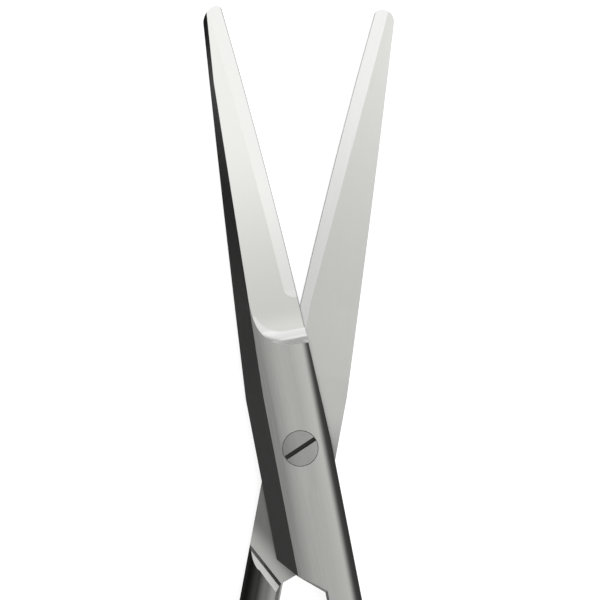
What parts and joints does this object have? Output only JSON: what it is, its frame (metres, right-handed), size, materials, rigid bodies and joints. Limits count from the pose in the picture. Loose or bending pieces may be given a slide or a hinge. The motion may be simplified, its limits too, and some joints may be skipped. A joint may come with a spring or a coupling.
{
  "type": "dissecting scissors",
  "caption": "Straight blunt-tipped dissecting scissors with bevelled blades, a half-lap joint on a flush slotted screw and oval finger rings.",
  "frame": {"origin": "on the pivot screw's axis, at the outer face of the rear half that the scissors lie on", "axes": "+Z along the screw, out of its slotted head, away from the surface the scissors lie on; +Y from the finger rings towards the blade tips, half way between the two blades; +X towards the rear half's blade"},
  "size_m": [0.0966, 0.1647, 0.0052],
  "materials": {
    "front_steel": "satin brushed at the joint and shank, finely ground on the blade",
    "rear_steel": "satin brushed at the joint and shank, finely ground on the blade",
    "screw_steel": "satin ground flush"
  },
  "bodies": {
    "rear": {"rear_half": "rear_steel", "pivot_screw": "screw_steel"},
    "front": {"front_half": "front_steel"}
  },
  "joints": [
    {"name": "pivot", "type": "hinge", "parent": "rear", "child": "front", "pos_m": [0, 0, 0.0026], "axis": [0, 0, 1], "range_deg": [-21.6, 115]}
  ]
}
